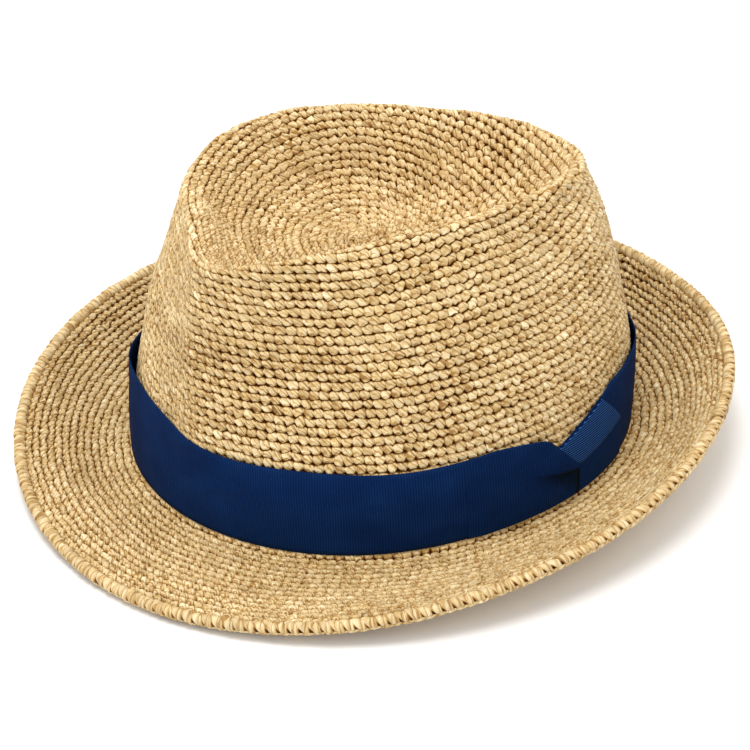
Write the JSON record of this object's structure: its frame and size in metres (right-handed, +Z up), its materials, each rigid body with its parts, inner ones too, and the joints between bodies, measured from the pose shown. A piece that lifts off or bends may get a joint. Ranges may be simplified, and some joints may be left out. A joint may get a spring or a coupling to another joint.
{
  "type": "fedora hat",
  "caption": "Crocheted straw fedora with a dented, front-pinched crown, a curled brim with a wired chain-stitch edge, a ribbon hatband and an inner sweatband.",
  "frame": {"origin": "on the table plane under the middle of the hat, which stands on the level ring of the brim beside the break", "axes": "+Z up, -Y towards the front of the hat, +X towards the wearer's left"},
  "size_m": [0.2666, 0.2949, 0.1141],
  "materials": {
    "straw": "hand-crocheted raffia, matt with bright strand edges",
    "ribbon": "navy grosgrain ribbon, fine ribs across its width",
    "thread": "navy sewing thread",
    "sweatband": "tan woven cotton tape",
    "wire": "thin steel brim wire"
  },
  "bodies": {
    "root": {"crown_tip": "straw", "crown_side": "straw", "brim": "straw", "brim_edge_chain": "straw", "brim_edge_wire": "wire", "wire_joint_sleeve": "wire", "hatband_ribbon": "ribbon", "hatband_folded_end": "ribbon", "hatband_keeper": "ribbon", "hatband_tack_1": "thread", "hatband_tack_2": "thread", "hatband_tack_3": "thread", "hatband_tack_4": "thread", "hatband_tack_5": "thread", "sweatband": "sweatband", "sweatband_seam_tab": "sweatband"}
  },
  "joints": []
}
